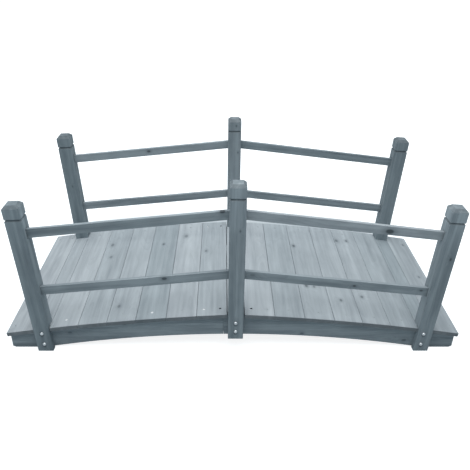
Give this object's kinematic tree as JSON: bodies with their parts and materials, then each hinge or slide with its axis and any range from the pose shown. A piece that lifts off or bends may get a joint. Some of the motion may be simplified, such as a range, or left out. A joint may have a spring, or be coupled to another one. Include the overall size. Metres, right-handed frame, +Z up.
{
  "type": "arched wooden garden footbridge",
  "caption": "Low arched garden footbridge: deck boards on two bowed side beams, with chamfered posts and a top and low rail on each side.",
  "frame": {"origin": "on the ground, under the middle of the deck", "axes": "+X along the bridge, +Y across it to the back, +Z up"},
  "size_m": [1.5216, 0.67, 0.6153],
  "materials": {
    "deck_boards": "thin pale blue-grey stain on planed softwood",
    "side_beams": "slate grey stain on planed softwood",
    "posts": "slate grey stain on planed softwood",
    "rails": "slate grey stain on planed softwood",
    "fixings": "zinc-plated bolt and screw heads"
  },
  "bodies": {
    "root": {"back_crown_post": "posts", "back_left_low_rail": "rails", "back_left_post": "posts", "back_left_side_beam": "side_beams", "back_left_top_rail": "rails", "back_right_low_rail": "rails", "back_right_post": "posts", "back_right_side_beam": "side_beams", "back_right_top_rail": "rails", "crown_narrow_board": "deck_boards", "front_crown_post": "posts", "front_left_low_rail": "rails", "front_left_post": "posts", "front_left_side_beam": "side_beams", "front_left_top_rail": "rails", "front_right_low_rail": "rails", "front_right_post": "posts", "front_right_side_beam": "side_beams", "front_right_top_rail": "rails", "left_deck_board_1": "deck_boards", "left_deck_board_2": "deck_boards", "left_deck_board_3": "deck_boards", "left_deck_board_4": "deck_boards", "left_deck_board_5": "deck_boards", "left_deck_board_6": "deck_boards", "left_end_board": "deck_boards", "left_narrow_board": "deck_boards", "right_deck_board_1": "deck_boards", "right_deck_board_2": "deck_boards", "right_deck_board_3": "deck_boards", "right_deck_board_4": "deck_boards", "right_deck_board_5": "deck_boards", "right_deck_board_6": "deck_boards", "right_end_board": "deck_boards", "right_narrow_board": "deck_boards"}
  },
  "joints": []
}
